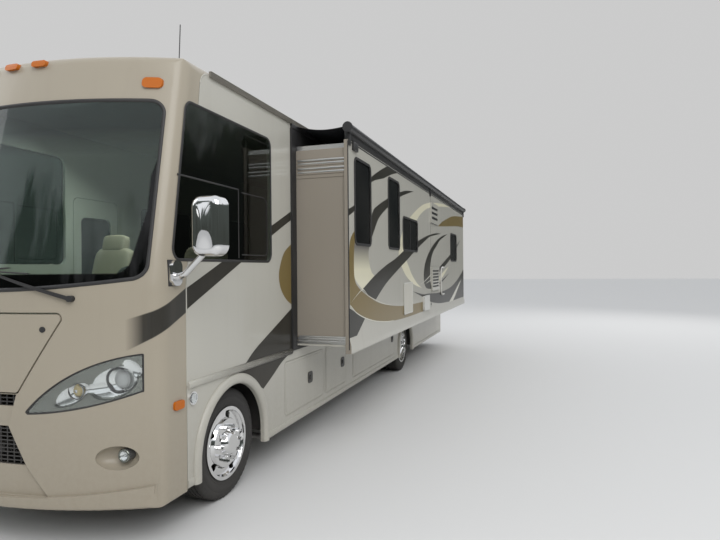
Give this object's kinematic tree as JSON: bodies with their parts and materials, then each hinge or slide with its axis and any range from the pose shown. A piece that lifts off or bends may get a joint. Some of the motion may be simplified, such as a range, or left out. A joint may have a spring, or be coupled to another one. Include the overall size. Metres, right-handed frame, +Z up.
{
  "type": "motorhome",
  "caption": "Full-size motorhome with its long side slide-out room extended, an awning over it, hinged doors and steered front wheels.",
  "frame": {"origin": "middle of the whole model's box, on the ground", "axes": "+X to the coach's left, where the slide-out room is; +Y rearwards; +Z up"},
  "size_m": [3.697, 11.4309, 3.84],
  "materials": {
    "cap_paint": "gloss",
    "wall_white": "gloss",
    "roof_white": "satin",
    "taupe_panel": "satin",
    "black_steel": "matte",
    "black_plastic": "matte",
    "seal_rubber": "matte",
    "dark_glass": "polished",
    "clear_glass": "polished",
    "tyre_rubber": "matte",
    "chrome": "polished",
    "aluminium": "satin",
    "cast": "matte",
    "galvanised": "satin",
    "lamp_lens": "polished",
    "amber_lens": "gloss",
    "red_lens": "gloss",
    "white_plastic": "satin",
    "interior_vinyl": "matte",
    "seat_leather": "satin",
    "floor_ply": "matte",
    "black_fabric": "matte"
  },
  "bodies": {
    "coach": {"chassis_frame": "black_steel", "frame_crossmembers": "black_steel", "hitch_receiver": "black_steel", "engine": "cast", "front_axle": "cast", "rear_axle": "cast", "fuel_tank": "black_plastic", "exhaust": "galvanised", "front_cap": "cap_paint", "left_wall": "wall_white", "right_wall": "wall_white", "roof": "roof_white", "floor": "floor_ply", "rear_cap": "cap_paint", "basement_walls": "wall_white", "storage_bays": "galvanised", "wheel_wells": "black_plastic", "windscreen": "clear_glass", "fixed_windows": "dark_glass", "dashboard": "interior_vinyl", "steering_wheel": "black_plastic", "front_seats": "seat_leather", "grilles": "black_plastic", "headlamps": "chrome", "lamp_lenses": "lamp_lens", "marker_lamps": "amber_lens", "tail_lamps": "red_lens", "wipers": "black_plastic", "mirrors": "chrome", "roof_units": "white_plastic", "side_trim": "wall_white", "patio_awning": "white_plastic", "ladder": "aluminium", "slide_frame": "seal_rubber"},
    "slide_room": {"slide_outer_wall": "wall_white", "slide_end_walls": "taupe_panel", "slide_roof": "aluminium", "slide_floor": "wall_white", "slide_windows": "dark_glass", "slide_vents": "white_plastic", "topper_roller": "black_plastic", "topper_fabric": "black_fabric"},
    "steering_left": {"steering_knuckle_left": "cast"},
    "steering_right": {"steering_knuckle_right": "cast"},
    "tie_rod": {"tie_rod": "black_steel"},
    "front_wheel_left": {"front_tyre_left": "tyre_rubber", "front_rim_left": "chrome"},
    "front_wheel_right": {"front_tyre_right": "tyre_rubber", "front_rim_right": "chrome"},
    "rear_wheels_left": {"rear_tyres_left": "tyre_rubber", "rear_rims_left": "chrome"},
    "rear_wheels_right": {"rear_tyres_right": "tyre_rubber", "rear_rims_right": "chrome"},
    "entry_door": {"entry_door": "wall_white"},
    "hood": {"hood": "cap_paint"},
    "left_bay_door_front": {"left_bay_door_front": "wall_white"},
    "left_bay_door_middle": {"left_bay_door_middle": "wall_white"},
    "left_bay_door_rear": {"left_bay_door_rear": "wall_white"},
    "right_bay_door_front": {"right_bay_door_front": "wall_white"},
    "right_bay_door_rear": {"right_bay_door_rear": "wall_white"}
  },
  "joints": [
    {"name": "slide_room_travel", "type": "slide", "parent": "coach", "child": "slide_room", "axis": [1, 0, 0], "range_m": [-0.53, 0], "deforming": ["topper_fabric"]},
    {"name": "steer_left", "type": "hinge", "parent": "coach", "child": "steering_left", "pos_m": [0.792, -4.451, 0.46], "axis": [0, 0, 1], "range_deg": [-35, 35]},
    {"name": "steer_right", "type": "hinge", "parent": "coach", "child": "steering_right", "pos_m": [-0.988, -4.451, 0.46], "axis": [0, 0, 1], "range_deg": [-35, 35]},
    {"name": "tie_rod_shift", "type": "slide", "parent": "coach", "child": "tie_rod", "axis": [1, 0, 0], "range_m": [-0.125, 0.125]},
    {"name": "front_wheel_left_spin", "type": "hinge", "parent": "steering_left", "child": "front_wheel_left", "pos_m": [0.99, -4.451, 0.46], "axis": [1, 0, 0], "continuous": true},
    {"name": "front_wheel_right_spin", "type": "hinge", "parent": "steering_right", "child": "front_wheel_right", "pos_m": [-1.186, -4.451, 0.46], "axis": [1, 0, 0], "continuous": true},
    {"name": "rear_wheels_left_spin", "type": "hinge", "parent": "coach", "child": "rear_wheels_left", "pos_m": [0.99, 1.699, 0.46], "axis": [1, 0, 0], "continuous": true},
    {"name": "rear_wheels_right_spin", "type": "hinge", "parent": "coach", "child": "rear_wheels_right", "pos_m": [-1.186, 1.699, 0.46], "axis": [1, 0, 0], "continuous": true},
    {"name": "entry_door_hinge", "type": "hinge", "parent": "coach", "child": "entry_door", "pos_m": [-1.38, -3.658, 1.7], "axis": [0, 0, 1], "range_deg": [0, 95]},
    {"name": "hood_hinge", "type": "hinge", "parent": "coach", "child": "hood", "pos_m": [-0.098, -5.7, 1.096], "axis": [1, 0, 0], "range_deg": [0, 80]},
    {"name": "left_bay_front_hinge", "type": "hinge", "parent": "coach", "child": "left_bay_door_front", "pos_m": [1.184, -2.98, 0.9865], "axis": [0, -1, 0], "range_deg": [0, 85]},
    {"name": "left_bay_middle_hinge", "type": "hinge", "parent": "coach", "child": "left_bay_door_middle", "pos_m": [1.184, -2.03, 0.9865], "axis": [0, -1, 0], "range_deg": [0, 85]},
    {"name": "left_bay_rear_hinge", "type": "hinge", "parent": "coach", "child": "left_bay_door_rear", "pos_m": [1.184, -0.28, 0.9865], "axis": [0, -1, 0], "range_deg": [0, 85]},
    {"name": "right_bay_front_hinge", "type": "hinge", "parent": "coach", "child": "right_bay_door_front", "pos_m": [-1.38, -1.98, 0.9865], "axis": [0, 1, 0], "range_deg": [0, 85]},
    {"name": "right_bay_rear_hinge", "type": "hinge", "parent": "coach", "child": "right_bay_door_rear", "pos_m": [-1.38, -0.13, 0.9865], "axis": [0, 1, 0], "range_deg": [0, 85]}
  ],
  "couplings": [
    {"joint": "steer_right", "follows": "steer_left", "ratio": 1},
    {"joint": "tie_rod_shift", "follows": "steer_left", "m_per_rad": -0.2}
  ]
}
